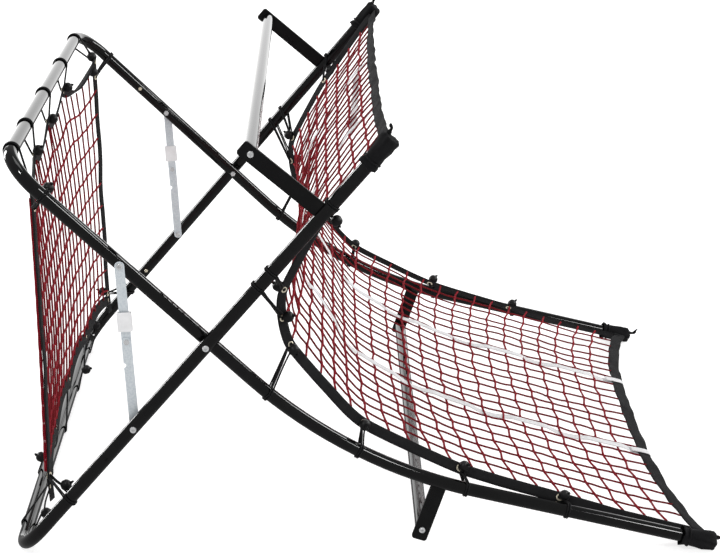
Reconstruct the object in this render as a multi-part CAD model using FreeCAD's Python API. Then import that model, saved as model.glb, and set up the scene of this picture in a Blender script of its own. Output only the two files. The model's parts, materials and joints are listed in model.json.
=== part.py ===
import FreeCAD, Part
import math
import os

# Pitch back rebounder. Two tube frames cross on one pivot line and fold. A flat net hangs across
# their closed ends, and a curved return net runs down the outer frame and out along the inner one.
# The model is built about the pivot line: X runs along the object, Y across it from near to far,
# and Z up. At the end it is moved so that the ground is Z = 0 and the middle of its length X = 0.

V = FreeCAD.Vector
NEAR = -1
FAR = 1
SIDES = {"near": NEAR, "far": FAR}

# Tubes and the room between the two frames
TUBE_DIA = 25.4
TUBE_WALL = 1.2
CORNER_BEND = 75.0
INNER_HALF = 527.0
SIDE_GAP = 4.0
PIN_SLACK = 0.05
FACE_SLACK = 0.1
SOFT_SLACK = 0.4

# Lean of both frames, and distances from the pivot line along their rails
INNER_LEAN = 44.5
OUTER_LEAN = 49.3
INNER_TOP = 490.0
OUTER_FOOT = 566.0
OUTER_TIP = 512.0
INNER_JOINT = 262.0
OUTER_JOINT = 302.0

# The long bend of the inner frame's rails, and the run that follows it down to the ground
CURVE_START = 112.0
CURVE_RADIUS = 924.0
TAIL_SLOPE = 14.0
TAIL_LIFT = 1.5

# Joint sleeves and snap buttons of the tube joints
SLEEVE_IN_RAIL = 40.0
SLEEVE_IN_LOOP = 62.0
SLEEVE_WALL = 1.2
SLEEVE_FIT = 0.1
BUTTON_FROM_JOINT = 36.0
BUTTON_R = 4.0
BUTTON_RISE = 3.2
BUTTON_TRAVEL = 3.0
BUTTON_FLANGE_R = 5.5
BUTTON_FLANGE = 1.2
BUTTON_ROOM = 0.15
RIVET_FROM_JOINT = 7.0
RIVET_R = 2.0
RIVET_HEAD_R = 3.2
RIVET_HEAD = 1.0
SPRING_LEAF = 0.8
SPRING_WIDTH = 7.0
SPRING_LENGTH = 34.0

# Bolts and nuts
BOLT_R = 3.0
BOLT_HEAD_R = 6.0
BOLT_HEAD = 3.4
NUT_FLATS = 10.0
NUT_HEIGHT = 5.0
PIVOT_WASHER_R = 9.0

# Folding braces: two flat straps with one slider on each side
BRACE_ON_INNER = 214.9
BRACE_ON_OUTER = 213.4
STRAP_WIDTH = 18.0
STRAP_THICK = 1.5
UPPER_STRAP_SHARE = 0.472
NOTCH_R = 4.5
NOTCH_FROM_RIVET = 46.0
SLIDER_FROM_RIVET = 40.0
SLIDER_LENGTH = 38.0
SLIDER_WIDTH = 27.0
SLIDER_THICK = 6.2
SLIDER_FIT = 0.3
SLIDER_CORNER = 2.0
BRACE_RIVET_R = 2.5
BRACE_RIVET_HEAD_R = 5.0
BRACE_RIVET_HEAD = 1.2

# Stands: flat arms with a cross tube between them
ARM_WIDTH = 30.0
ARM_THICK = 5.0
ARM_CORNER = 6.0
UPPER_ARM_AT = 335.0
UPPER_ARM_LENGTH = 193.0
LOWER_ARM_AT = 533.0
LOWER_ARM_LENGTH = 129.0
BAR_INSET = 22.0
BAR_PLUG = 20.0
STAND_BOLT_GRIP = 16.0

# End plugs and the cloth pockets that hold the return net's corners
PLUG_FLANGE = 2.0
PLUG_DEPTH = 15.0
POCKET_WALL = 2.6
POCKET_LENGTH = 52.0
POCKET_END = 2.0

# Cords, balls, eyelets and webbing
CORD_DIA = 4.0
CORD_BEND = 7.0
CORD_TURN = 4.0
BALL_DIA = 21.0
EYELET_R = 6.5
EYELET_HOLE_R = 3.4
EYELET_THICK = 3.6
WEBBING = 20.0
WEBBING_THICK = 2.6
NET_THICK = 2.0
NET_CORD = 2.6

# Front net: its plane and heights from the pivot line, its room to the rails, and its mesh
FRONT_X = -313.0
FRONT_TOP = 296.0
FRONT_BOTTOM = -316.0
FRONT_TOP_ROOM = 97.0
FRONT_BOTTOM_ROOM = 56.4
SIDE_EYE = 30.0
FRONT_COLUMNS = 18
FRONT_ROWS = 12

# Where the front net's cords are looped on the frames
RINGS_ON_BAR = 5
RING_FROM_BEND = 12.0
TOP_SIDE_RING = 380.0
FOOT_SIDE_RING = 408.0

# Return net: place along the rail and rise from it, first on the outer frame, then on the inner one
NET_FROM_POCKET = 11.7
RETURN_ON_OUTER = ((484.0, 8.0), (318.0, 26.0), (173.0, 50.0), (127.0, 82.0))
RETURN_ON_INNER = ((141.0, 93.0), (257.0, 77.0), (394.0, 49.0), (569.0, 38.0), (771.0, 24.0), (880.0, 13.0), (990.0, 6.0))
RETURN_COLUMNS = 12
RETURN_CELL = 56.0
END_SAG_LOW = 66.0
END_SAG_HIGH = 18.0
BAND_RISE = 4.0
BAND_INSET = 18.0
STRIKE_AT = 185.0
STRIKE_WIDTH = 22.0
STRIKE_THICK = 1.2

# Where the return net's cords are looped on the rails, with the point of the net's line that each one holds
RING_FROM_ARM = 6.0
OUTER_RINGS = ((UPPER_ARM_AT + ARM_WIDTH / 2 + RING_FROM_ARM, 1), (188.0, 2), (150.0, 3))
INNER_RINGS = ((156.0, 4), (400.0, 6), (585.0, 7), (786.0, 8))

# Sizes that follow
TUBE_R = TUBE_DIA / 2
BORE_R = TUBE_R - TUBE_WALL
OUTER_HALF = INNER_HALF + TUBE_DIA + SIDE_GAP
FRONT_TOP_HALF = INNER_HALF - FRONT_TOP_ROOM
FRONT_BOTTOM_HALF = OUTER_HALF - FRONT_BOTTOM_ROOM
RETURN_HALF = INNER_HALF - TUBE_R - POCKET_WALL - NET_FROM_POCKET
UP_INNER = 180.0 - INNER_LEAN
DOWN_INNER = -INNER_LEAN
UP_OUTER = OUTER_LEAN
DOWN_OUTER = 180.0 + OUTER_LEAN
CURVE_TURN = INNER_LEAN - TAIL_SLOPE
CURVE_LENGTH = CURVE_RADIUS * math.radians(CURVE_TURN)
GROUND = -OUTER_FOOT * math.sin(math.radians(OUTER_LEAN)) - TUBE_R


def heading(angle):
    """Unit vector in the side view at an angle from +X towards +Z."""
    return V(math.cos(math.radians(angle)), 0, math.sin(math.radians(angle)))


def polar(angle, distance, y=0.0):
    """Point at a distance from the pivot line, on the plane at y."""
    return heading(angle) * distance + V(0, y, 0)


def inner_rail(along):
    """Point and heading angle on the inner rail, at a length along it past the pivot."""
    if along <= CURVE_START:
        return polar(DOWN_INNER, along), DOWN_INNER
    turn = min(math.degrees((along - CURVE_START) / CURVE_RADIUS), CURVE_TURN)
    chord = 2 * CURVE_RADIUS * math.sin(math.radians(turn / 2))
    point = polar(DOWN_INNER, CURVE_START) + heading(DOWN_INNER + turn / 2) * chord
    rest = max(along - CURVE_START - CURVE_LENGTH, 0.0)
    return point + heading(DOWN_INNER + turn) * rest, DOWN_INNER + turn


def off_inner(along, rise):
    """Point above the inner rail, square to it."""
    point, angle = inner_rail(along)
    return point + heading(angle + 90) * rise


def off_outer(along, rise):
    """Point on the return net's side of the outer rail, square to it."""
    return polar(UP_OUTER, along) + heading(UP_OUTER - 90) * rise


BEND_END = inner_rail(CURVE_START + CURVE_LENGTH)[0]
TAIL_END_Z = GROUND + TAIL_LIFT + TUBE_R * math.cos(math.radians(TAIL_SLOPE))
TAIL_RUN = (BEND_END.z - TAIL_END_Z) / math.sin(math.radians(TAIL_SLOPE))
INNER_LENGTH = CURVE_START + CURVE_LENGTH + TAIL_RUN


def path_wire(points, radius=None):
    """Open wire through the points, with one tangent arc of the radius at each inner point."""
    edges = []
    start = points[0]
    for before, corner, after in zip(points, points[1:], points[2:]):
        back = (before - corner).normalize()
        ahead = (after - corner).normalize()
        half = back.getAngle(ahead) / 2
        trim = radius / math.tan(half)
        arc_in = corner + back * trim
        arc_out = corner + ahead * trim
        middle = corner + (back + ahead).normalize() * (radius / math.sin(half) - radius)
        edges.append(Part.LineSegment(start, arc_in).toShape())
        edges.append(Part.Arc(arc_in, middle, arc_out).toShape())
        start = arc_out
    edges.append(Part.LineSegment(start, points[-1]).toShape())
    return Part.Wire(edges)


def sweep_round(wire, start, direction, radius):
    ring = Part.Wire([Part.makeCircle(radius, start, direction)])
    return wire.makePipeShell([ring], True, False)


def bent_tube(points, radius, outer_r=TUBE_R, wall=TUBE_WALL):
    wire = path_wire(points, radius)
    direction = points[1] - points[0]
    skin = sweep_round(wire, points[0], direction, outer_r)
    return skin.cut(sweep_round(wire, points[0], direction, outer_r - wall))


def rod(start, end, radius):
    return Part.makeCylinder(radius, (end - start).Length, start, end - start)


def straight_tube(start, end, outer_r, wall):
    return rod(start, end, outer_r).cut(rod(start, end, outer_r - wall))


def across(x, z, y_from, y_to, radius):
    """Round bar along Y between two places."""
    return rod(V(x, y_from, z), V(x, y_to, z), radius)


def plate(start, end, width, y_middle, thick, end_corner=0.0, start_corner=0.0):
    """Flat bar in the side view from start to end, with rounded corners at its ends."""
    along = (end - start).normalize()
    square = V(-along.z, 0, along.x) * (width / 2)
    y = V(0, y_middle - thick / 2, 0)
    corners = [start + square, end + square, end - square, start - square]
    face = Part.Face(Part.makePolygon([corner + y for corner in corners + corners[:1]]))
    bar = face.extrude(V(0, thick, 0))
    for point, radius in ((start, start_corner), (end, end_corner)):
        if radius:
            bar = bar.makeFillet(radius, edges_across(bar, point, along))
    return bar


def edges_across(bar, point, along):
    """Edges of a flat bar that run along Y at one of its ends."""
    found = []
    for edge in bar.Edges:
        first, last = edge.Vertexes[0].Point, edge.Vertexes[-1].Point
        if abs(first.x - last.x) + abs(first.z - last.z) < 1e-6 and abs((first - point).dot(along)) < 1e-3:
            found.append(edge)
    return found


def strap(start, end, y_low, y_high, radius, start_hole, end_hole):
    """Flat strap with round ends centred on start and end, and a hole at each."""
    middle = (y_low + y_high) / 2
    thick = y_high - y_low
    blank = plate(start, end, 2 * radius, middle, thick)
    for point in (start, end):
        blank = blank.fuse(across(point.x, point.z, y_low, y_high, radius))
    blank = blank.removeSplitter()
    for point, hole_r in ((start, start_hole), (end, end_hole)):
        blank = blank.cut(across(point.x, point.z, y_low - 1, y_high + 1, hole_r))
    return blank


def pan_bolt(x, z, y_seat, y_end):
    """Bolt whose head stands on y_seat and whose shank runs to y_end."""
    out = 1 if y_seat > y_end else -1
    head = across(x, z, y_seat, y_seat + out * BOLT_HEAD, BOLT_HEAD_R)
    rim = [edge for edge in head.Edges if len(edge.Vertexes) == 1 and
           abs(edge.Vertexes[0].Y - y_seat - out * BOLT_HEAD) < 1e-6]
    head = head.makeFillet(BOLT_HEAD * 0.55, rim)
    slot = Part.makeBox(BOLT_HEAD_R * 1.1, BOLT_HEAD, 1.3, V(-BOLT_HEAD_R * 0.55, -BOLT_HEAD / 2, -0.65))
    cross = slot.fuse(slot.rotated(V(0, 0, 0), V(0, 1, 0), 90))
    cross.translate(V(x, y_seat + out * BOLT_HEAD * 1.05, z))
    return head.fuse(across(x, z, y_seat, y_end, BOLT_R)).cut(cross)


def hex_nut(x, z, y_face, out):
    """Nut with one face at y_face, standing in the direction out along Y."""
    reach = NUT_FLATS / 2 / math.cos(math.radians(30))
    points = [V(x, y_face, z) + heading(60 * k) * reach for k in range(7)]
    body = Part.Face(Part.makePolygon(points)).extrude(V(0, out * NUT_HEIGHT, 0))
    return body.cut(across(x, z, y_face - NUT_HEIGHT * 2, y_face + NUT_HEIGHT * 2, BOLT_R + 0.02))


def bore_across(shape, x, z, side, half, hole_r):
    """Cut a hole along Y through both walls of the rail at side * half."""
    reach = TUBE_DIA
    return shape.cut(across(x, z, side * half - reach, side * half + reach, hole_r))


def end_loop(angle, half, joint, reach):
    """Closed end of a frame: a cross tube and its two bent legs."""
    points = [polar(angle, joint, -half), polar(angle, reach, -half),
              polar(angle, reach, half), polar(angle, joint, half)]
    loop = bent_tube(points, CORNER_BEND)
    button = polar(angle, joint + BUTTON_FROM_JOINT)
    for side in SIDES.values():
        inside = side * (half - TUBE_DIA)
        loop = loop.cut(across(button.x, button.z, inside, side * half, BUTTON_R + PIN_SLACK))
    return loop


def joint_fittings(angle, half, joint):
    """Sleeves, rivets, buttons and springs of one frame's two tube joints."""
    sleeves, rivets, springs, buttons = [], [], [], {}
    button = polar(angle, joint + BUTTON_FROM_JOINT)
    pin = polar(angle, joint - RIVET_FROM_JOINT)
    sleeve_r = BORE_R - SLEEVE_FIT
    inside_r = sleeve_r - SLEEVE_WALL
    flange_seat = math.sqrt(inside_r ** 2 - BUTTON_FLANGE_R ** 2) - BUTTON_ROOM
    for name, side in SIDES.items():
        axis = V(0, side * half, 0)
        sleeve = straight_tube(polar(angle, joint - SLEEVE_IN_RAIL) + axis,
                               polar(angle, joint + SLEEVE_IN_LOOP) + axis, sleeve_r, SLEEVE_WALL)
        sleeve = sleeve.cut(across(button.x, button.z, side * (half - TUBE_DIA), side * half,
                                   BUTTON_R + PIN_SLACK))
        sleeves.append(bore_across(sleeve, pin.x, pin.z, side, half, RIVET_R + PIN_SLACK))
        shank = across(pin.x, pin.z, side * (half - TUBE_R), side * (half + TUBE_R), RIVET_R)
        for out in (-1, 1):
            face = side * half + out * TUBE_R
            shank = shank.fuse(across(pin.x, pin.z, face, face + out * RIVET_HEAD, RIVET_HEAD_R))
        rivets.append(shank)
        # The button points at the mid-plane: its flange waits under the sleeve's wall.
        flange_y = side * (half - flange_seat)
        top_y = side * (half - TUBE_R - BUTTON_RISE)
        stem = across(button.x, button.z, flange_y, top_y, BUTTON_R)
        rim = [edge for edge in stem.Edges if len(edge.Vertexes) == 1 and abs(edge.Vertexes[0].Y - top_y) < 1e-6]
        stem = stem.makeFillet(BUTTON_R * 0.6, rim)
        flange = across(button.x, button.z, flange_y, flange_y + side * BUTTON_FLANGE, BUTTON_FLANGE_R)
        buttons[name] = stem.fuse(flange)
        spring_high = flange_seat - BUTTON_FLANGE - BUTTON_TRAVEL - BUTTON_ROOM
        springs.append(button_spring(button + axis, heading(angle), V(0, -side, 0), spring_high, inside_r))
    return Part.makeCompound(sleeves), Part.makeCompound(rivets), Part.makeCompound(springs), buttons


def button_spring(root, along, toward_button, high, inside_r):
    """Folded leaf inside the sleeve, drawn as it lies with the button pressed."""
    wide = along.cross(toward_button).normalize() * SPRING_WIDTH
    low = SPRING_WIDTH / 2 + SPRING_LEAF - inside_r
    flat = BUTTON_FLANGE_R + 0.5
    outline = [(flat, high), (-flat, high), (-SPRING_LENGTH, low + 1.5 * SPRING_LEAF), (-SPRING_LENGTH, low), (flat, low),
               (flat, low + SPRING_LEAF), (SPRING_LEAF * 6 - SPRING_LENGTH, low + SPRING_LEAF),
               (-flat, high - SPRING_LEAF), (flat, high - SPRING_LEAF)]
    points = [root + along * s + toward_button * r - wide / 2 for s, r in outline]
    return Part.Face(Part.makePolygon(points + points[:1])).extrude(wide)


def inner_side_rail(side):
    """Rail of the inner frame: straight past the pivot, one long bend, and the tail to the ground."""
    to_corner = CURVE_RADIUS * math.tan(math.radians(CURVE_TURN / 2))
    axis = V(0, side * INNER_HALF, 0)
    corner = polar(DOWN_INNER, CURVE_START + to_corner) + axis
    points = [polar(UP_INNER, INNER_JOINT) + axis, corner, corner + heading(-TAIL_SLOPE) * (to_corner + TAIL_RUN)]
    rail = bent_tube(points, CURVE_RADIUS)
    pin = polar(UP_INNER, INNER_JOINT - RIVET_FROM_JOINT)
    brace = polar(UP_INNER, BRACE_ON_INNER)
    rail = bore_across(rail, pin.x, pin.z, side, INNER_HALF, RIVET_R + PIN_SLACK)
    rail = bore_across(rail, brace.x, brace.z, side, INNER_HALF, BOLT_R + PIN_SLACK)
    return bore_across(rail, 0, 0, side, INNER_HALF, BOLT_R + PIN_SLACK)


def outer_side_rail(side):
    axis = V(0, side * OUTER_HALF, 0)
    rail = straight_tube(polar(DOWN_OUTER, OUTER_JOINT) + axis, polar(UP_OUTER, OUTER_TIP) + axis, TUBE_R, TUBE_WALL)
    pin = polar(DOWN_OUTER, OUTER_JOINT - RIVET_FROM_JOINT)
    brace = polar(DOWN_OUTER, BRACE_ON_OUTER)
    rail = bore_across(rail, pin.x, pin.z, side, OUTER_HALF, RIVET_R + PIN_SLACK)
    rail = bore_across(rail, brace.x, brace.z, side, OUTER_HALF, BOLT_R + PIN_SLACK)
    return bore_across(rail, 0, 0, side, OUTER_HALF, BOLT_R + PIN_SLACK)


def end_plug(tip, outward):
    """Plastic plug in an open tube end."""
    inside = tip - outward * PLUG_DEPTH
    return rod(tip, tip + outward * PLUG_FLANGE, TUBE_R).fuse(rod(inside, tip, BORE_R - 0.05))


def net_pocket(tip, outward):
    """Cloth pocket over a rail's end, cut flat where it lies on the ground."""
    closed = tip + outward * (PLUG_FLANGE + SOFT_SLACK)
    mouth = closed - outward * POCKET_LENGTH
    bore_r = TUBE_R + SOFT_SLACK / 2
    pocket = rod(mouth, closed + outward * POCKET_END, bore_r + POCKET_WALL).cut(rod(mouth, closed, bore_r))
    return above_ground(pocket)


def stand(root, angle, half, length, rail_skin):
    """Arms, cross tube, plugs and bolts of one stand. The arms leave the rails at the angle."""
    arms, plugs, bolts = {}, [], []
    end = root + heading(angle) * length
    bar = root + heading(angle) * (length - BAR_INSET)
    face = half - ARM_THICK / 2
    for name, side in SIDES.items():
        arm = plate(root, end, ARM_WIDTH, side * half, ARM_THICK, ARM_CORNER)
        arm = arm.cut(rail_skin[name])
        arms[name] = arm.cut(across(bar.x, bar.z, side * (half - ARM_THICK), side * (half + ARM_THICK),
                                    BOLT_R + PIN_SLACK))
        plug = across(bar.x, bar.z, side * face, side * (face - BAR_PLUG), BORE_R - 0.05)
        plugs.append(plug.cut(across(bar.x, bar.z, side * half, side * (face - BAR_PLUG - 1), BOLT_R + 0.02)))
        seat = side * (half + ARM_THICK / 2)
        bolts.append(pan_bolt(bar.x, bar.z, seat, seat - side * STAND_BOLT_GRIP))
    tube = straight_tube(V(bar.x, -face, bar.z), V(bar.x, face, bar.z), TUBE_R, TUBE_WALL)
    return arms, tube, Part.makeCompound(plugs), Part.makeCompound(bolts)


def brace(side):
    """Straps, slider, rivet, bolts and nuts of one folding brace."""
    top = polar(UP_INNER, BRACE_ON_INNER)
    foot = polar(DOWN_OUTER, BRACE_ON_OUTER)
    span = (foot - top).Length
    along = (foot - top).normalize()
    rivet = top + along * (span * UPPER_STRAP_SHARE)
    outer_face = OUTER_HALF - TUBE_R
    upper_low = INNER_HALF + TUBE_R + FACE_SLACK
    upper_high = upper_low + STRAP_THICK
    lower_high = outer_face - 2 * FACE_SLACK
    lower_low = lower_high - STRAP_THICK
    bolt_hole = BOLT_R + PIN_SLACK
    rivet_hole = BRACE_RIVET_R + PIN_SLACK
    upper = strap(top, rivet, *sorted((side * upper_low, side * upper_high)), STRAP_WIDTH / 2, bolt_hole, rivet_hole)
    lower = strap(rivet, foot, *sorted((side * lower_low, side * lower_high)), STRAP_WIDTH / 2, rivet_hole, bolt_hole)
    edge = V(-along.z, 0, along.x) * (STRAP_WIDTH / 2)
    if edge.x > 0:
        edge = edge * -1
    notch = rivet + along * NOTCH_FROM_RIVET + edge
    lower = lower.cut(across(notch.x, notch.z, side * (lower_low - STRAP_THICK),
                             side * (lower_high + STRAP_THICK), NOTCH_R))

    # Slider: a flat sleeve round both straps' planes
    middle = side * (upper_low + lower_high) / 2
    centre = rivet - along * SLIDER_FROM_RIVET
    low_end = centre + along * (SLIDER_LENGTH / 2)
    high_end = centre - along * (SLIDER_LENGTH / 2)
    slider = plate(high_end, low_end, SLIDER_WIDTH, middle, SLIDER_THICK, SLIDER_CORNER, SLIDER_CORNER)
    channel = lower_high - upper_low + 2 * SLIDER_FIT
    slider = slider.cut(plate(high_end - along, low_end + along, STRAP_WIDTH + 2 * SLIDER_FIT, middle, channel))

    # Rivet: clinched to the upper strap, free in the lower one
    far_seat = lower_high + FACE_SLACK
    pin = across(rivet.x, rivet.z, side * (upper_low - BRACE_RIVET_HEAD), side * upper_low, BRACE_RIVET_HEAD_R)
    pin = pin.fuse(across(rivet.x, rivet.z, side * (upper_low - 0.5), side * (far_seat + 0.5), BRACE_RIVET_R))
    pin = pin.fuse(across(rivet.x, rivet.z, side * far_seat, side * (far_seat + BRACE_RIVET_HEAD), BRACE_RIVET_HEAD_R))

    # Bolts at both ends. The foot bolt ends at the rail, and its nut and stud belong to the strap.
    nut_face = INNER_HALF - TUBE_R
    upper_bolt = pan_bolt(top.x, top.z, side * (upper_high + FACE_SLACK), side * (nut_face - NUT_HEIGHT - 1))
    upper_nut = hex_nut(top.x, top.z, side * nut_face, -side)
    lower_bolt = pan_bolt(foot.x, foot.z, side * (OUTER_HALF + TUBE_R), side * outer_face)
    foot_nut = hex_nut(foot.x, foot.z, side * lower_low, -side)
    foot_stud = across(foot.x, foot.z, side * (lower_low - NUT_HEIGHT - 1), side * (outer_face - FACE_SLACK), BOLT_R)
    return {"brace_upper_strap": upper, "brace_lower_strap": lower, "brace_slider": slider, "brace_rivet": pin,
            "brace_foot_nut": Part.makeCompound([foot_nut, foot_stud]),
            "upper": [upper_bolt, upper_nut], "lower": [lower_bolt]}


def ring_on(axis_point, axis):
    """Loop of elastic cord round a tube. Round a tube that lies on the ground it is left open below."""
    loop_r = TUBE_R + CORD_DIA / 2 + SOFT_SLACK
    outer_r = loop_r + CORD_DIA / 2
    height = axis_point.z - GROUND
    if height > outer_r:
        return Part.makeTorus(loop_r, CORD_DIA / 2, axis_point, axis)
    gap = math.degrees(math.acos(height / outer_r)) + 1
    start = heading(-90 - gap)
    disc = Part.Face(Part.Wire([Part.makeCircle(CORD_DIA / 2, axis_point + start * loop_r, start.cross(axis))]))
    return disc.revolve(axis_point, axis, 360 - 2 * gap)


def ball_cord(axis_point, axis, eye, ball_side):
    """Elastic loop on a tube, its cord through an eyelet of the net, and the ball that stops it behind."""
    bend = eye - ball_side * CORD_BEND
    run = bend - axis_point
    start = axis_point + (run - axis * run.dot(axis)).normalize() * (TUBE_R + CORD_DIA / 2 + SOFT_SLACK)
    centre = eye + ball_side * (EYELET_THICK / 2 + SOFT_SLACK + BALL_DIA / 2)
    cord = sweep_round(path_wire([start, bend, centre], CORD_TURN), start, bend - start, CORD_DIA / 2)
    ball = Part.makeSphere(BALL_DIA / 2)
    ball.Placement = FreeCAD.Placement(centre, FreeCAD.Rotation(V(1, 0, 0), ball_side))
    return ring_on(axis_point, axis).fuse(cord).fuse(ball)


def above_ground(shape):
    """Cut flat what would press into the ground."""
    box = shape.BoundBox
    below = Part.makeBox(box.XLength + 2, box.YLength + 2, 50, V(box.XMin - 1, box.YMin - 1, GROUND - 50))
    return shape.cut(below)


def front_point(down, across_share):
    """Point of the front net, with both shares from 0 to 1: down from its top, and from near to far."""
    half = FRONT_TOP_HALF + (FRONT_BOTTOM_HALF - FRONT_TOP_HALF) * down
    return V(FRONT_X, half * (2 * across_share - 1), FRONT_TOP + (FRONT_BOTTOM - FRONT_TOP) * down)


def flat_patch(corners, thick):
    """Flat four-sided piece about the front net's plane."""
    shift = V(-thick / 2, 0, 0)
    return Part.Face(Part.makePolygon([c + shift for c in corners + corners[:1]])).extrude(V(thick, 0, 0))


def front_net():
    """One flat sheet with a hole for each mesh, inside its webbing border."""
    corners = [front_point(0, 0), front_point(0, 1), front_point(1, 1), front_point(1, 0)]
    sheet = Part.Face(Part.makePolygon(corners + corners[:1]))
    holes = []
    inset = NET_CORD / 2
    for row in range(FRONT_ROWS):
        for column in range(FRONT_COLUMNS):
            low, high = row / FRONT_ROWS, (row + 1) / FRONT_ROWS
            left, right = column / FRONT_COLUMNS, (column + 1) / FRONT_COLUMNS
            cell = [front_point(low, left) + V(0, inset, -inset), front_point(low, right) + V(0, -inset, -inset),
                    front_point(high, right) + V(0, -inset, inset), front_point(high, left) + V(0, inset, inset)]
            holes.append(Part.Face(Part.makePolygon(cell + cell[:1])))
    sheet = sheet.cut(Part.makeCompound(holes))
    sheet = sheet.Faces[0].extrude(V(NET_THICK, 0, 0))
    sheet.translate(V(-NET_THICK / 2, 0, 0))
    return sheet


def front_border(eyes):
    inside = [front_point(0, 0), front_point(0, 1), front_point(1, 1), front_point(1, 0)]
    outside = [inside[0] + V(0, -WEBBING, WEBBING), inside[1] + V(0, WEBBING, WEBBING),
               inside[2] + V(0, WEBBING, -WEBBING), inside[3] + V(0, -WEBBING, -WEBBING)]
    border = flat_patch(outside, WEBBING_THICK).cut(flat_patch(inside, WEBBING_THICK * 2))
    return border.cut(Part.makeCompound([eyelet_hole(eye, V(1, 0, 0)) for eye in eyes]))


def eyelet(point, axis):
    half = axis * (EYELET_THICK / 2)
    return rod(point - half, point + half, EYELET_R).cut(rod(point - half * 2, point + half * 2, EYELET_HOLE_R))


def eyelet_hole(point, axis):
    return rod(point - axis * EYELET_R, point + axis * EYELET_R, EYELET_R)


def spread(half):
    """Evenly spread places across the object, one for each cord on a closed end."""
    return [-half + 2 * half * k / (RINGS_ON_BAR - 1) for k in range(RINGS_ON_BAR)]


def front_eyes():
    """Eyelets of the front net: along its top, along its bottom, and near both ends of its sides."""
    top = [V(FRONT_X, y, FRONT_TOP + WEBBING / 2) for y in spread(FRONT_TOP_HALF)]
    foot = [V(FRONT_X, y, FRONT_BOTTOM - WEBBING / 2) for y in spread(FRONT_BOTTOM_HALF)]
    share = SIDE_EYE / (FRONT_TOP - FRONT_BOTTOM)
    high, low = [], []
    for side in SIDES.values():
        out = V(0, side * WEBBING / 2, 0)
        high.append(front_point(share, (1 + side) / 2) + out)
        low.append(front_point(1 - share, (1 + side) / 2) + out)
    return top, foot, high, low


def bar_rings(half):
    """Places of the cord loops on the straight part of a closed end."""
    return spread(half - CORNER_BEND - RING_FROM_BEND)


def return_line():
    """Side view of the return net: the end and middle points of a chain of arcs, and its upward normals there."""
    points = [off_outer(*place) for place in RETURN_ON_OUTER] + [off_inner(*place) for place in RETURN_ON_INNER]
    normals = []
    for before, after in zip(points[:1] + points, points[1:] + points[-1:]):
        run = (after - before).normalize()
        normals.append(V(-run.z, 0, run.x))
    return points, normals


def return_strip(low, high, y_from, y_to):
    """Solid that follows the return net between two heights above its line."""
    points, normals = return_line()
    upper = [p + n * high for p, n in zip(points, normals)]
    lower = [p + n * low for p, n in zip(points, normals)]
    edges = []
    for line in (upper, lower[::-1]):
        for k in range(0, len(line) - 1, 2):
            edges.append(Part.Arc(line[k], line[k + 1], line[k + 2]).toShape())
    edges.insert(len(edges) // 2, Part.LineSegment(upper[-1], lower[-1]).toShape())
    edges.append(Part.LineSegment(lower[0], upper[0]).toShape())
    face = Part.Face(Part.Wire(edges))
    strip = face.extrude(V(0, y_to - y_from, 0))
    strip.translate(V(0, y_from, 0))
    return strip


def return_net():
    """The curved net: a sheet that follows its line, with a hole for each mesh."""
    half = RETURN_HALF - WEBBING / 2
    sheet = return_strip(-NET_THICK / 2, NET_THICK / 2, -half, half)
    points = return_line()[0]
    column = 2 * half / RETURN_COLUMNS
    cutters = []
    for k in range(0, len(points) - 1, 2):
        arc = Part.Arc(points[k], points[k + 1], points[k + 2]).toShape()
        count = max(1, round(arc.Length / RETURN_CELL))
        for step in range(count):
            place = arc.FirstParameter + (arc.LastParameter - arc.FirstParameter) * (step + 0.5) / count
            middle = arc.valueAt(place)
            run = arc.tangentAt(place)
            hole = arc.Length / count - 2 * NET_CORD
            turn = math.degrees(math.atan2(run.z, run.x))
            for c in range(RETURN_COLUMNS):
                box = Part.makeBox(hole, column - 2 * NET_CORD, 30, V(-hole / 2, -column / 2 + NET_CORD, -15))
                box.rotate(V(0, 0, 0), V(0, 1, 0), -turn)
                box.translate(middle + V(0, -half + column * (c + 0.5), 0))
                cutters.append(box)
    return sheet.cut(Part.makeCompound(cutters))


def band_place(rail_tip, angle, up, half, sag):
    """Near end of an end band beside the rail's pocket, the way it bows, how far, and its upper side."""
    corner = WEBBING * sag / half
    beside = half - TUBE_R - SOFT_SLACK / 2 - POCKET_WALL - SOFT_SLACK - corner
    tip = rail_tip + up * BAND_RISE - heading(angle) * BAND_INSET + V(0, NEAR * beside, 0)
    return tip, -heading(angle), sag, up


def end_arc(tip, sag_direction, sag):
    """Bowed line across one end of the return net, from the tip on the near side to its mirror image."""
    middle = V(tip.x, 0, tip.z) + sag_direction * sag
    return Part.Arc(tip, middle, V(tip.x, -tip.y, tip.z)).toShape()


def end_band(tip, sag_direction, sag, up):
    """Webbing across one end of the return net, bowed in towards its middle."""
    arc = end_arc(tip, sag_direction, sag)
    side = arc.tangentAt(arc.FirstParameter).cross(up).normalize() * (WEBBING / 2)
    rise = up * (WEBBING_THICK / 2)
    profile = Part.makePolygon([tip + side + rise, tip - side + rise, tip - side - rise, tip + side - rise, tip + side + rise])
    return Part.Wire([arc]).makePipeShell([profile], True, False)


def beyond_band(tip, sag_direction, sag, up):
    """Space past the inner edge of an end band, where the net and what lies along it stop."""
    edge = sag_direction * (WEBBING / 2 + SOFT_SLACK)
    past = sag_direction * -(sag + WEBBING)
    mirrored = V(tip.x, -tip.y, tip.z)
    arc = end_arc(tip + edge, sag_direction, sag)
    lines = Part.makePolygon([mirrored + edge, mirrored + past, tip + past, tip + edge])
    face = Part.Face(Part.Wire([arc] + lines.Edges))
    face.translate(up * -TUBE_DIA)
    return face.extrude(up * (2 * TUBE_DIA))


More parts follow.
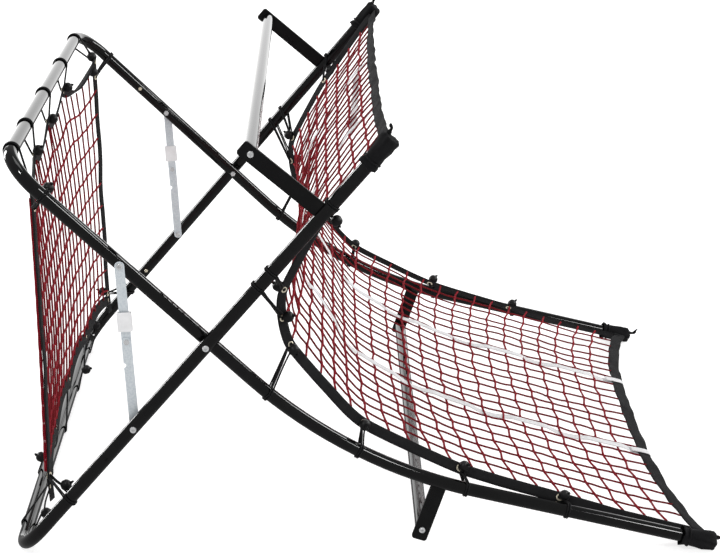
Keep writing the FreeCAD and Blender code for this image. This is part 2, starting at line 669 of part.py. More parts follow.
def build():
    parts = {}
    rail_skin = {"inner": {}, "outer": {}}
    to_corner = CURVE_RADIUS * math.tan(math.radians(CURVE_TURN / 2))
    for name, side in SIDES.items():
        axis = V(0, side * INNER_HALF, 0)
        corner = polar(DOWN_INNER, CURVE_START + to_corner) + axis
        points = [polar(DOWN_INNER, 0) + axis, corner, corner + heading(-TAIL_SLOPE) * (to_corner + TAIL_RUN)]
        rail_skin["inner"][name] = sweep_round(path_wire(points, CURVE_RADIUS), points[0], heading(DOWN_INNER), TUBE_R)
        axis = V(0, side * OUTER_HALF, 0)
        rail_skin["outer"][name] = rod(axis, polar(UP_OUTER, OUTER_TIP) + axis, TUBE_R)
        parts["inner_rail_" + name] = inner_side_rail(side)
        parts["outer_rail_" + name] = outer_side_rail(side)

    parts["inner_end_loop"] = end_loop(UP_INNER, INNER_HALF, INNER_JOINT, INNER_TOP)
    parts["outer_end_loop"] = end_loop(DOWN_OUTER, OUTER_HALF, OUTER_JOINT, OUTER_FOOT)
    for frame, angle, half, joint in (("inner", UP_INNER, INNER_HALF, INNER_JOINT),
                                      ("outer", DOWN_OUTER, OUTER_HALF, OUTER_JOINT)):
        sleeves, rivets, springs, buttons = joint_fittings(angle, half, joint)
        parts[frame + "_joint_sleeves"] = sleeves
        parts[frame + "_joint_rivets"] = rivets
        parts[frame + "_button_springs"] = springs
        for name, button in buttons.items():
            parts[frame + "_snap_button_" + name] = button

    # Pivot: bolt through the outer rail, a spacer washer and the inner rail
    bolts, nuts, washers = [], [], []
    for side in SIDES.values():
        bolts.append(pan_bolt(0, 0, side * (OUTER_HALF + TUBE_R), side * (INNER_HALF - TUBE_R - NUT_HEIGHT - 1.5)))
        nuts.append(hex_nut(0, 0, side * (INNER_HALF - TUBE_R - FACE_SLACK), -side))
        low = INNER_HALF + TUBE_R + FACE_SLACK
        high = OUTER_HALF - TUBE_R
        washer = across(0, 0, side * low, side * high, PIVOT_WASHER_R)
        washers.append(washer.cut(across(0, 0, side * (low - 1), side * (high + 1), BOLT_R + 0.02)))
    parts["pivot_bolts"] = Part.makeCompound(bolts)
    parts["pivot_nuts"] = Part.makeCompound(nuts)
    parts["pivot_spacers"] = Part.makeCompound(washers)

    # Braces
    upper_bolts, lower_bolts = [], []
    for name, side in SIDES.items():
        pieces = brace(side)
        upper_bolts += pieces.pop("upper")
        lower_bolts += pieces.pop("lower")
        for piece, shape in pieces.items():
            parts[piece + "_" + name] = shape
    parts["brace_upper_bolts"] = Part.makeCompound(upper_bolts)
    parts["brace_lower_bolts"] = Part.makeCompound(lower_bolts)

    # Stands
    arms, bar, plugs, bolts = stand(polar(UP_OUTER, UPPER_ARM_AT), UP_OUTER + 90, OUTER_HALF, UPPER_ARM_LENGTH,
                                    rail_skin["outer"])
    for name, arm in arms.items():
        parts["upper_stand_arm_" + name] = arm
    parts["upper_stand_bar"], parts["upper_stand_plugs"], parts["upper_stand_bolts"] = bar, plugs, bolts
    root, angle = inner_rail(LOWER_ARM_AT)
    arms, bar, plugs, bolts = stand(root, angle - 90, INNER_HALF, LOWER_ARM_LENGTH, rail_skin["inner"])
    for name, arm in arms.items():
        parts["lower_stand_arm_" + name] = arm
    parts["lower_stand_bar"], parts["lower_stand_plugs"], parts["lower_stand_bolts"] = bar, plugs, bolts

    # Rail ends
    outer_tip = polar(UP_OUTER, OUTER_TIP)
    inner_tip = inner_rail(INNER_LENGTH)[0]
    for frame, tip, angle, half in (("inner", inner_tip, -TAIL_SLOPE, INNER_HALF),
                                    ("outer", outer_tip, UP_OUTER, OUTER_HALF)):
        ends = [tip + V(0, side * half, 0) for side in SIDES.values()]
        parts[frame + "_end_plugs"] = Part.makeCompound([end_plug(end, heading(angle)) for end in ends])
        parts[frame + "_net_pockets"] = Part.makeCompound([net_pocket(end, heading(angle)) for end in ends])

    # Front net with its border, eyelets and ball cords
    parts["front_net"] = front_net()
    top_eyes, foot_eyes, high_eyes, low_eyes = front_eyes()
    all_eyes = top_eyes + foot_eyes + high_eyes + low_eyes
    parts["front_net_border"] = front_border(all_eyes)
    parts["front_net_eyelets"] = Part.makeCompound([eyelet(eye, V(1, 0, 0)) for eye in all_eyes])
    across_y = V(0, 1, 0)
    inwards = V(1, 0, 0)
    top = [ball_cord(polar(UP_INNER, INNER_TOP, y), across_y, eye, inwards)
           for y, eye in zip(bar_rings(INNER_HALF), top_eyes)]
    foot = [ball_cord(polar(DOWN_OUTER, OUTER_FOOT, y), across_y, eye, inwards)
            for y, eye in zip(bar_rings(OUTER_HALF), foot_eyes)]
    for side, high, low in zip(SIDES.values(), high_eyes, low_eyes):
        top.append(ball_cord(polar(UP_INNER, TOP_SIDE_RING, side * INNER_HALF), heading(UP_INNER), high, -inwards))
        foot.append(ball_cord(polar(DOWN_OUTER, FOOT_SIDE_RING, side * OUTER_HALF), heading(DOWN_OUTER), low, -inwards))
    parts["front_upper_ball_cords"] = Part.makeCompound(top)
    parts["front_lower_ball_cords"] = Part.makeCompound(foot)

    # Bands across both ends of the return net, from pocket to pocket
    tail = band_place(inner_tip, -TAIL_SLOPE, heading(90 - TAIL_SLOPE), INNER_HALF, END_SAG_LOW)
    head = band_place(outer_tip, UP_OUTER, heading(UP_OUTER - 90), OUTER_HALF, END_SAG_HIGH)
    parts["return_net_lower_band"] = end_band(*tail)
    parts["return_net_upper_band"] = end_band(*head)
    past_ends = Part.makeCompound([beyond_band(*tail), beyond_band(*head)])

    # Eyelets and ball cords of the return net
    line, normals = return_line()
    eyes, holes, inner_cords, outer_cords = [], [], [], []
    for side in SIDES.values():
        places = [(polar(UP_OUTER, ring), UP_OUTER, k, OUTER_HALF, outer_cords) for ring, k in OUTER_RINGS]
        places += [(*inner_rail(ring), k, INNER_HALF, inner_cords) for ring, k in INNER_RINGS]
        for point, angle, k, half, cords in places:
            eye = line[k] + V(0, side * RETURN_HALF, 0)
            eyes.append(eyelet(eye, normals[k]))
            holes.append(eyelet_hole(eye, normals[k]))
            cords.append(ball_cord(point + V(0, side * half, 0), heading(angle), eye, normals[k]))
    parts["return_net_eyelets"] = Part.makeCompound(eyes)
    parts["return_inner_ball_cords"] = Part.makeCompound(inner_cords)
    parts["return_outer_ball_cords"] = Part.makeCompound(outer_cords)

    # Return net, its side bands and its target tapes
    parts["return_net"] = return_net().cut(past_ends)
    low, high = -WEBBING_THICK / 2, WEBBING_THICK / 2
    bands = [return_strip(low, high, *sorted((side * (RETURN_HALF - WEBBING / 2), side * (RETURN_HALF + WEBBING / 2))))
             for side in SIDES.values()]
    parts["return_net_side_bands"] = Part.makeCompound(
        [band.cut(past_ends).cut(Part.makeCompound(holes)) for band in bands])
    for name, side in SIDES.items():
        middle = side * STRIKE_AT
        tape = return_strip(NET_THICK / 2 + 0.3, NET_THICK / 2 + 0.3 + STRIKE_THICK,
                            middle - STRIKE_WIDTH / 2, middle + STRIKE_WIDTH / 2)
        parts["strike_strap_" + name] = tape.cut(past_ends)
    return parts


parts = build()
whole = Part.makeCompound(list(parts.values())).optimalBoundingBox(False, False)
stand_on_ground = V(-(whole.XMin + whole.XMax) / 2, 0, -GROUND)
os.makedirs("parts", exist_ok=True)
for node, shape in parts.items():
    shape.translate(stand_on_ground)
    for solid in shape.Solids:
        if not solid.isValid() or not solid.isClosed():
            print("not a valid closed solid:", node)
    shape.exportStep("parts/" + node + ".step")
print("nodes", len(parts), "size", [round(v, 1) for v in (whole.XLength, whole.YLength, whole.ZLength)])
print("pivot line at X %.3f Z %.3f, ground %.3f" % (stand_on_ground.x, stand_on_ground.z, whole.ZMin - GROUND))
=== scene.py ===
import bisect
import json
import math
import random

import bpy
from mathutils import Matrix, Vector, noise


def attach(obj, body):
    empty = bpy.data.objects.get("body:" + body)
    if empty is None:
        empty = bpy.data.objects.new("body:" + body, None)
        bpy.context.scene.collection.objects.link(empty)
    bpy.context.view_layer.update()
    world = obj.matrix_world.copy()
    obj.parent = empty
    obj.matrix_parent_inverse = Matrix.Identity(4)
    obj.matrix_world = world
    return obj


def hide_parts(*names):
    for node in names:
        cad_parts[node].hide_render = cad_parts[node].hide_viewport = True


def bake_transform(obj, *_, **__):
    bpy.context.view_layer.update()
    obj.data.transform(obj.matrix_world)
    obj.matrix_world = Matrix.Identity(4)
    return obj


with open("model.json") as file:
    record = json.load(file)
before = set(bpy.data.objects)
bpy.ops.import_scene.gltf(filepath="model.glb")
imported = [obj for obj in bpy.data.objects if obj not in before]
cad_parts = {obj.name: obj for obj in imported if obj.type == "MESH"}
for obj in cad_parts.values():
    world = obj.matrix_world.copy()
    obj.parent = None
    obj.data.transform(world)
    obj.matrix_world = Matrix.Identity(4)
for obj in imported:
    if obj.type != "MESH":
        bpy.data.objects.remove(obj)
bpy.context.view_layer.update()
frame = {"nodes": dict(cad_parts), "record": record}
nodes = frame["nodes"]

# The noise of cords and hems is seeded too, so that every run gives the same shapes
SEED = 11
rng = random.Random(SEED)
noise.seed_set(SEED)

# Places are in millimetres from the pivot line, as in the part's source, and become metres in row()
PIVOT = Vector((-287.453, 0, 441.804))
GROUND = -PIVOT.z
X_AXIS, Y_AXIS, Z_AXIS = Vector((1, 0, 0)), Vector((0, 1, 0)), Vector((0, 0, 1))
NEAR, FAR = -1, 1

# Tubes: radius, half distance between the rails, headings in degrees and lengths along the rails
TUBE_R = 12.7
INNER_HALF, OUTER_HALF = 527.0, 556.4
UP_INNER, DOWN_INNER, UP_OUTER, DOWN_OUTER = 135.5, -44.5, 49.3, 229.3
CURVE_START, CURVE_RADIUS, CURVE_TURN, TAIL_SLOPE = 112.0, 924.0, 30.5, 14.0
INNER_TOP, INNER_LENGTH, OUTER_FOOT, OUTER_TIP = 490.0, 1076.5, 566.0, 512.0


def heading(angle):
    return Vector((math.cos(math.radians(angle)), 0, math.sin(math.radians(angle))))


def polar(angle, distance, y=0.0):
    return heading(angle) * distance + Vector((0, y, 0))


def inner_rail(along):
    """Point and heading angle on the inner rail, at a length along it past the pivot."""
    if along <= CURVE_START:
        return polar(DOWN_INNER, along), DOWN_INNER
    turn = min(math.degrees((along - CURVE_START) / CURVE_RADIUS), CURVE_TURN)
    chord = 2 * CURVE_RADIUS * math.sin(math.radians(turn / 2))
    point = polar(DOWN_INNER, CURVE_START) + heading(DOWN_INNER + turn / 2) * chord
    rest = max(along - CURVE_START - CURVE_RADIUS * math.radians(CURVE_TURN), 0.0)
    return point + heading(DOWN_INNER + turn) * rest, DOWN_INNER + turn


def off_inner(along, rise):
    point, angle = inner_rail(along)
    return point + heading(angle + 90) * rise


def off_outer(along, rise):
    return polar(UP_OUTER, along) + heading(UP_OUTER - 90) * rise


def row(point):
    return (point + PIVOT) / 1000


def clamp(value, low=0.0, high=1.0):
    return min(max(value, low), high)


# Shader building
def principled(name, colour, rough, metal=0.0, **sockets):
    m = bpy.data.materials.new(name)
    m.use_nodes = True
    shader = m.node_tree.nodes["Principled BSDF"]
    shader.inputs["Base Color"].default_value = (*colour, 1)
    shader.inputs["Roughness"].default_value = rough
    shader.inputs["Metallic"].default_value = metal
    for key, value in sockets.items():
        shader.inputs[key.replace("_", " ")].default_value = value
    return m, m.node_tree, shader


def node(tree, kind, **values):
    n = tree.nodes.new(kind)
    for key, value in values.items():
        if key in n.inputs:
            n.inputs[key].default_value = value
        else:
            setattr(n, key, value)
    return n


def place(tree, source="Object", scale=(1, 1, 1)):
    """Texture coordinates in metres, or along and across a piece with source UV."""
    coords = node(tree, "ShaderNodeTexCoord")
    mapping = node(tree, "ShaderNodeMapping", Scale=scale)
    tree.links.new(coords.outputs[source], mapping.inputs["Vector"])
    return mapping.outputs["Vector"]


def noise_at(tree, vector, scale, detail, rough):
    n = node(tree, "ShaderNodeTexNoise", Scale=scale, Detail=detail, Roughness=rough)
    tree.links.new(vector, n.inputs["Vector"])
    return n.outputs["Fac"]


def ramp(tree, value, low, high, colour_low, colour_high):
    r = node(tree, "ShaderNodeValToRGB")
    r.color_ramp.elements[0].position = low
    r.color_ramp.elements[1].position = high
    r.color_ramp.elements[0].color = (*colour_low, 1)
    r.color_ramp.elements[1].color = (*colour_high, 1)
    tree.links.new(value, r.inputs["Fac"])
    return r.outputs["Color"]


def grey(v):
    return (v, v, v)


def darker(colour, share):
    return tuple(c * share for c in colour)


def bump(tree, shader, height, strength, distance, after=None):
    b = node(tree, "ShaderNodeBump", Strength=strength, Distance=distance)
    tree.links.new(height, b.inputs["Height"])
    if after is not None:
        tree.links.new(after, b.inputs["Normal"])
    tree.links.new(b.outputs["Normal"], shader.inputs["Normal"])
    return b.outputs["Normal"]


def math_node(tree, operation, *values):
    m = node(tree, "ShaderNodeMath", operation=operation)
    for socket, value in zip(m.inputs, values):
        if isinstance(value, (int, float)):
            socket.default_value = value
        else:
            tree.links.new(value, socket)
    return m.outputs[0]


def uv_parts(tree):
    """Metres along a piece, and its other UV coordinate."""
    split = node(tree, "ShaderNodeSeparateXYZ")
    tree.links.new(place(tree, "UV"), split.inputs["Vector"])
    return split.outputs["X"], split.outputs["Y"]


# Materials
def coated_metal(name, colour, rough, peel, gloss):
    """Powder coat: fine orange peel, faint dust and a few rubbed places."""
    m, t, s = principled(name, colour, rough, Specular_IOR_Level=gloss)
    v = place(t)
    rub = noise_at(t, v, 9, 5, 0.6)
    rough_at = ramp(t, rub, 0.42, 0.75, grey(rough * 0.8), grey(min(rough * 1.7, 1)))
    t.links.new(rough_at, s.inputs["Roughness"])
    dust = noise_at(t, v, 30, 8, 0.65)
    dusty = tuple(c + 0.005 for c in colour)
    t.links.new(ramp(t, dust, 0.5, 0.85, colour, dusty), s.inputs["Base Color"])
    bump(t, s, noise_at(t, v, 900, 2, 0.5), peel, 0.0003)
    return m


def galvanised():
    """Zinc dipped strip: pale spangle, drawn lines along it, and dull spots."""
    m, t, s = principled("galvanised", (0.62, 0.67, 0.7), 0.42, 0.25)
    cells = node(t, "ShaderNodeTexVoronoi", Scale=260.0)
    t.links.new(place(t), cells.inputs["Vector"])
    spangle = ramp(t, cells.outputs["Distance"], 0.1, 0.9, (0.66, 0.72, 0.77), (0.8, 0.85, 0.88))
    t.links.new(spangle, s.inputs["Base Color"])
    drawn = noise_at(t, place(t, scale=(900, 900, 25)), 1, 4, 0.6)
    t.links.new(ramp(t, drawn, 0.3, 0.7, grey(0.34), grey(0.5)), s.inputs["Roughness"])
    bump(t, s, drawn, 0.12, 0.0002)
    return m


def bright_metal(name, colour, rough, metal):
    m, t, s = principled(name, colour, rough, metal)
    fine = noise_at(t, place(t), 700, 4, 0.6)
    t.links.new(ramp(t, fine, 0.3, 0.75, grey(rough * 0.7), grey(rough * 1.8)), s.inputs["Roughness"])
    tone = noise_at(t, place(t), 160, 3, 0.5)
    t.links.new(ramp(t, tone, 0.3, 0.8, darker(colour, 0.82), colour), s.inputs["Base Color"])
    bump(t, s, fine, 0.08, 0.0002)
    return m


def moulded(name, colour, rough, grain):
    m, t, s = principled(name, colour, rough, Specular_IOR_Level=0.3)
    tone = noise_at(t, place(t), 60, 4, 0.55)
    t.links.new(ramp(t, tone, 0.3, 0.8, darker(colour, 0.88), colour), s.inputs["Base Color"])
    bump(t, s, noise_at(t, place(t), 1400, 3, 0.5), grain, 0.0003)
    return m


def yarn(name, dark, light, pitch, rough, sheen):
    """Twisted or braided cord. UV: metres along the cord, turns round it."""
    m, t, s = principled(name, light, rough, Specular_IOR_Level=0.12,
                         Sheen_Weight=sheen, Sheen_Roughness=0.5)
    along, around = uv_parts(t)
    lay = math_node(t, "MULTIPLY", along, math.tau / pitch)
    turn = math_node(t, "MULTIPLY", around, math.tau * 2)
    one = math_node(t, "SINE", math_node(t, "ADD", lay, turn))
    two = math_node(t, "SINE", math_node(t, "SUBTRACT", lay, turn))
    height = math_node(t, "MULTIPLY_ADD", math_node(t, "MAXIMUM", one, two), 0.5, 0.5)
    patches = noise_at(t, place(t), 45, 3, 0.6)
    # The colour is darker in the grooves between the strands, which is painted shade, and it also varies in
    # random patches.
    painted_shade_and_tone = math_node(t, "MULTIPLY", height, math_node(t, "ADD", patches, 0.55))
    t.links.new(ramp(t, painted_shade_and_tone, 0.15, 0.95, dark, light), s.inputs["Base Color"])
    bump(t, s, height, 0.5, 0.0005)
    return m


def woven(name, dark, light, rough, rib, seam):
    """Woven webbing or cloth. UV: metres along and across. seam is how far each of two sewn lines
    lies from the middle, or 0 where there are none."""
    m, t, s = principled(name, light, rough, Specular_IOR_Level=0.1,
                         Sheen_Weight=0.04, Sheen_Roughness=0.4)
    along, across = uv_parts(t)
    warp = math_node(t, "SINE", math_node(t, "MULTIPLY", along, math.tau / rib))
    weft = math_node(t, "SINE", math_node(t, "MULTIPLY", across, math.tau / rib))
    height = math_node(t, "MULTIPLY_ADD", math_node(t, "MULTIPLY", warp, weft), 0.5, 0.5)
    patches = noise_at(t, place(t), 38, 5, 0.6)
    shade = math_node(t, "MULTIPLY_ADD", height, 0.4, 0.6)
    painted_shade_and_tone = math_node(t, "MULTIPLY", shade, math_node(t, "ADD", patches, 0.5))
    t.links.new(ramp(t, painted_shade_and_tone, 0.2, 1.0, dark, light), s.inputs["Base Color"])
    last = bump(t, s, height, 0.45, 0.0004)
    if seam:
        off_seam = math_node(t, "SUBTRACT", math_node(t, "ABSOLUTE", across), seam)
        line = math_node(t, "LESS_THAN", math_node(t, "ABSOLUTE", off_seam), 0.0008)
        stitch = math_node(t, "SINE", math_node(t, "MULTIPLY", along, math.tau / 0.004))
        dash = math_node(t, "GREATER_THAN", stitch, -0.4)
        bump(t, s, math_node(t, "MULTIPLY", line, dash), 0.7, 0.0006, last)
    return m


MATERIALS = {
    "black_tube": coated_metal("black_tube", (0.002, 0.002, 0.0022), 0.055, 0.008, 0.46),
    "black_steel": coated_metal("black_steel", (0.004, 0.004, 0.0043), 0.34, 0.12, 0.24),
    "galvanised": galvanised(),
    "zinc_bolt": bright_metal("zinc_bolt", (0.88, 0.89, 0.9), 0.18, 0.45),
    "steel_inside": bright_metal("steel_inside", (0.42, 0.43, 0.45), 0.35, 0.9),
    "white_plastic": moulded("white_plastic", (0.93, 0.93, 0.94), 0.4, 0.08),
    "black_plastic": moulded("black_plastic", (0.012, 0.012, 0.013), 0.42, 0.12),
    "brass": bright_metal("brass", (0.95, 0.87, 0.68), 0.2, 0.4),
    "elastic_cord": yarn("elastic_cord", (0.003, 0.003, 0.0035), (0.014, 0.014, 0.015), 0.0032, 0.7, 0.02),
    "net_cord": yarn("net_cord", (0.06, 0.002, 0.005), (0.31, 0.009, 0.02), 0.0042, 0.8, 0.0),
    "net_cord_thin": yarn("net_cord_thin", (0.045, 0.003, 0.005), (0.2, 0.009, 0.014), 0.0036, 0.8, 0.0),
    "black_webbing": woven("black_webbing", (0.004, 0.004, 0.0045), (0.017, 0.017, 0.018),
                           0.85, 0.0016, 0.0075),
    "black_cloth": woven("black_cloth", (0.003, 0.003, 0.0035), (0.012, 0.012, 0.013), 0.9, 0.0012, 0.0),
    "white_webbing": woven("white_webbing", (0.55, 0.55, 0.56), (0.83, 0.83, 0.84), 0.8, 0.0014, 0.0085),
    "ball": moulded("ball_rubber", (0.007, 0.007, 0.0075), 0.42, 0.1),
}


def square_to(axis):
    """A direction at a right angle to the axis."""
    return axis.cross(Z_AXIS if abs(axis.z) < 0.9 else Y_AXIS).normalized()


def circle(count):
    return [math.tau * k / count for k in range(count)]


def step_at(line, k):
    """The way the line runs at its point k, from the point before to the one after."""
    return line[min(k + 1, len(line) - 1)] - line[max(k - 1, 0)]


class Mesh:
    """Collects the vertices, faces and UVs of one piece, in millimetres from the pivot line."""

    BAND_CORNER = 0.35

    def __init__(self):
        self.points = []
        self.faces = []
        self.uvs = []
        self.looks = []
        self.look = 0

    def grid(self, rings, us, vs):
        """Quads between closed rings of points."""
        base = len(self.points)
        width = len(rings[0])
        for ring in rings:
            self.points += ring
        for i in range(len(rings) - 1):
            for k in range(width):
                n = (k + 1) % width
                low = base + i * width
                high = low + width
                self.faces.append([low + k, high + k, high + n, low + n])
                self.looks.append(self.look)
                self.uvs += [(us[i], vs[k]), (us[i + 1], vs[k]), (us[i + 1], vs[k + 1]), (us[i], vs[k + 1])]
        return base

    def cap(self, ring_start, count, flip):
        loop = list(range(ring_start, ring_start + count))
        self.faces.append(loop[::-1] if flip else loop)
        self.looks.append(self.look)
        self.uvs += [(0, 0)] * count

    def cap_ends(self, base, rings):
        count = len(rings[0])
        self.cap(base, count, False)
        self.cap(base + (len(rings) - 1) * count, count, True)

    def tube(self, line, radius, sides, closed=False):
        """Round cord along a line. radius is one number, or one for each point."""
        count = len(line)
        radii = radius if isinstance(radius, list) else [radius] * count
        if closed:
            tangents = [(line[(k + 1) % count] - line[k - 1]).normalized() for k in range(count)]
        else:
            tangents = [step_at(line, k).normalized() for k in range(count)]
        square = square_to(tangents[0])
        rings, us, run = [], [], 0.0
        for k in range(count):
            if k:
                square = (square - tangents[k] * square.dot(tangents[k])).normalized()
                run += (line[k] - line[k - 1]).length
            other = tangents[k].cross(square)
            rings.append([line[k] + (square * math.cos(a) + other * math.sin(a)) * radii[k]
                          for a in circle(sides)])
            us.append(run / 1000)
        if closed:
            # the last ring is turned to meet the first
            target = rings[0][0] - line[0]
            best = min(range(sides), key=lambda j: (rings[-1][j] - line[-1] - target).length)
            rings.append(rings[0][-best:] + rings[0][:-best] if best else list(rings[0]))
            us.append((run + (line[0] - line[-1]).length) / 1000)
        base = self.grid(rings, us, [j / sides for j in range(sides + 1)])
        if not closed:
            self.cap_ends(base, rings)

    def ribbon(self, line, sides, width, thick):
        """Flat band along a line. sides gives the direction of its width, once or at each point."""
        w, h = width / 2, thick / 2
        edge = h * self.BAND_CORNER
        upper = [(-w, -edge), (-w, edge), (-w + h, h), (-w / 2, h), (0, h), (w / 2, h), (w - h, h)]
        profile = upper + [(-a, -b) for a, b in upper]
        rings, us, run = [], [], 0.0
        for k in range(len(line)):
            if k:
                run += (line[k] - line[k - 1]).length
            tangent = step_at(line, k).normalized()
            side = sides[k] if isinstance(sides, list) else sides
            side = (side - tangent * side.dot(tangent)).normalized()
            up = side.cross(tangent)
            rings.append([line[k] + side * a + up * b for a, b in profile])
            us.append(run / 1000)
        vs = [a / 1000 for a, _ in profile] + [profile[0][0] / 1000]
        self.cap_ends(self.grid(rings, us, vs), rings)

    def lathe(self, profile, centre, axis, segments):
        """Turned piece. Its profile is pairs of distance along the axis and radius."""
        axis = axis.normalized()
        square = square_to(axis)
        other = axis.cross(square)
        rings = []
        for along, radius in profile:
            reach = max(radius, 0.02)
            rings.append([centre + axis * along + (square * math.cos(a) + other * math.sin(a)) * reach
                          for a in circle(segments)])
        us = [k * 0.002 for k in range(len(profile))]
        self.grid(rings, us, [k / segments for k in range(segments + 1)])

    def make(self, name, material, *others):
        mesh = bpy.data.meshes.new(name)
        mesh.from_pydata([row(p) for p in self.points], [], self.faces)
        layer = mesh.uv_layers.new(name="UVMap")
        layer.data.foreach_set("uv", [c for uv in self.uvs for c in uv])
        mesh.polygons.foreach_set("use_smooth", [True] * len(mesh.polygons))
        mesh.polygons.foreach_set("material_index", self.looks)
        mesh.validate()
        mesh.update()
        obj = bpy.data.objects.new(name, mesh)
        bpy.context.scene.collection.objects.link(obj)
        for look in (material, *others):
            mesh.materials.append(MATERIALS[look])
        return obj


def smooth_line(points, per, pull=0.5):
    """Curve through the points. pull is how far it rounds them, from 0 for straight runs."""
    out = []
    for k in range(len(points) - 1):
        a, b = points[k], points[k + 1]
        before = points[k - 1] if k else a
        after = points[k + 2] if k + 2 < len(points) else b
        in_a, in_b = (b - before) * pull, (after - a) * pull
        for j in range(per):
            t = j / per
            out.append(a * (2 * t ** 3 - 3 * t ** 2 + 1) + b * (3 * t ** 2 - 2 * t ** 3)
                       + in_a * (t ** 3 - 2 * t ** 2 + t) + in_b * (t ** 3 - t ** 2))
    out.append(points[-1].copy())
    return out


def lengths(line):
    total = [0.0]
    for a, b in zip(line, line[1:]):
        total.append(total[-1] + (b - a).length)
    return total


def at_length(line, table, s):
    s = clamp(s, 0.0, table[-1])
    low = min(bisect.bisect_right(table, s) - 1, len(table) - 2)
    share = (s - table[low]) / max(table[low + 1] - table[low], 1e-9)
    return line[low].lerp(line[low + 1], share)


# Ball cords: an elastic loop round a tube, both sides of it led to an eyelet, closed by a ball
CORD_R = 1.7
STRAND_FROM_MIDDLE = 2.05
TURN_STEPS = 12
BALL_R = 11.0
BALL_SLICES, BALL_ROUND, BALL_GROOVED = 17, range(4, 15), (8, 9)
CORD_END_RADII = [2.2, 2.6, 3.0, 3.1, 2.9, 2.4, 2.0, 2.0, 2.3, 1.9]


def ball_profile():
    """The ball's outline: a half circle in slices, with flat ends and a groove round its middle."""
    profile = [(-BALL_R * 0.93, 0), (-BALL_R * 0.93, 2.8), (-BALL_R * 0.86, 5.6)]
    for k in BALL_ROUND:
        angle = math.pi * k / BALL_SLICES
        groove = 0.45 if k in BALL_GROOVED else 0.0
        profile.append((-math.cos(angle) * BALL_R, math.sin(angle) * (BALL_R - groove)))
    return profile + [(BALL_R * 0.86, 5.0), (BALL_R * 0.92, 3.4), (BALL_R * 0.84, 2.2), (BALL_R * 0.84, 0)]


def ball_cord(axis_point, axis, eye, face, ball_share, lean):
    """Cord from a tube to an eyelet. face is the side of the band that the ball lies on, ball_share
    moves the ball up the cord towards the tube, and lean is where the ball stands from the cord."""
    piece = Mesh()
    axis = axis.normalized()
    toward = eye - axis_point
    toward = toward - axis * toward.dot(axis)
    gap = toward.length
    toward.normalize()
    third = axis.cross(toward)
    if third.dot(face) < 0:
        third = -third
    r = TUBE_R + CORD_R
    tangent = math.acos(min(r / gap, 0.98))

    def around(angle, offset):
        """Point of the turn round the tube. It doesn't sink into the ground."""
        out = toward * math.cos(angle) + third * math.sin(angle)
        p = axis_point + out * r + axis * offset
        p.z = max(p.z, GROUND + CORD_R)
        return p

    front = around(tangent, 0)
    ball_at = eye.lerp(front, ball_share)
    neck = BALL_R * 0.75 * lean.length if ball_share else BALL_R + 1.4
    lean = lean.normalized()
    centre = ball_at + lean * neck
    run = (front - eye).normalized()
    for offset in (-STRAND_FROM_MIDDLE, STRAND_FROM_MIDDLE):
        spread = axis * offset
        line = [centre - lean * 5 + spread * 0.3]
        if ball_share:
            line.append(eye.lerp(ball_at, 0.5) + face * 2.2 + spread * 0.6)
        line.append(eye + face * 2 + spread * 0.55)
        line.append(eye - face * 3.4 + spread * 0.6)
        line.append((eye - face * 3.4).lerp(around(-tangent, offset), 0.5) + spread * 0.2)
        for k in range(TURN_STEPS + 1):
            line.append(around(-tangent - (math.tau - 2 * tangent) * k / TURN_STEPS, offset))
        line.append(front.lerp(ball_at, 0.6) + spread + lean * 1.5)
        line.append(ball_at + lean * 3.0 + spread * 1.9)
        line.append(ball_at + lean * 3.2 - run * 4.4 + spread * 0.4)
        piece.tube(smooth_line(line, 4), CORD_R, 7)
    tip = centre + lean * BALL_R * 0.86
    wag = (run * rng.uniform(-1, 1) + axis * rng.uniform(-1, 1)) * 1.8
    knot = [tip - lean, tip + lean * 2.0 + wag * 0.3, tip + lean * 3.4 + wag, tip + lean * 4.2 + wag * 2.0]
    piece.tube(smooth_line(knot, 3), CORD_END_RADII, 7)
    piece.look = 1
    piece.lathe(ball_profile(), centre, lean, 22)
    return piece


def eyelet(mesh, centre, axis):
    """Rolled two-sided eyelet."""
    half, hole, rim = 1.9, 3.5, 6.9
    side = [(half - 0.7, hole + 1.2), (half - 0.6, rim), (half - 0.1, rim),
            (half + 0.5, hole + 2.2), (half + 0.7, hole + 0.9), (half, hole)]
    mirrored = [(-along, radius) for along, radius in reversed(side)]
    mesh.lathe(mirrored + side + mirrored[:1], centre, axis, 18)


# Netting: the cords across a net are knitted round the thinner ones along it. Radii of both and of
# their knots, the step of a cord from one knot to the next, and the points of a line between two knots
THICK, THIN, KNOT = 2.2, 1.95, 2.9
STEP = 1.9
CORD_STEPS = 6


def net_cord(mesh, crossings, radius, knot, wave, seed):
    """One cord of a net through its crossings, with the radius knot where it meets the others."""
    line = smooth_line(crossings, CORD_STEPS, 0.42)
    shift = Vector((random.Random(seed).uniform(0, 6), 0, 0))
    radii = []
    for k, p in enumerate(line):
        from_crossing = min(k % CORD_STEPS, CORD_STEPS - k % CORD_STEPS)
        inside = 0 < k < len(line) - 1
        here = radius
        if inside and from_crossing == 0:
            here = knot
        elif inside and from_crossing == 1:
            here = (radius + knot) / 2
        elif inside:
            line[k] = p + noise.noise_vector(p / 60 + shift) * wave
        radii.append(here)
    mesh.tube(line, radii, 6)


def drape(obj, cad, fold):
    """Shows a soft piece in place of its CAD node, which it hides, and bakes the piece's transform into its
    mesh.
    """
    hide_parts(cad)
    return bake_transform(obj, "outer_frame", "inner_frame", row(fold[0]), row(fold[1]))


# Front net: bowed towards both closed ends, with scalloped edges between its eyelets
FRONT_X, FRONT_TOP, FRONT_BOTTOM = -312.0, 282.0, -313.0
FRONT_TOP_HALF, FRONT_BOTTOM_HALF = 436.0, 500.0
FRONT_COLUMNS, FRONT_ROWS = 22, 11
FRONT_SPANS = 4

# Two places on the front net, low and high, that drape is given
FRONT_FOLD = Vector((FRONT_X, 0, -282)), Vector((FRONT_X, 0, 232))

# How much higher its top and lower its foot is at the far end, and how far the far end stands forward
TOP_TILT, FOOT_TILT, FAR_FORWARD = 16, 4, 6.5

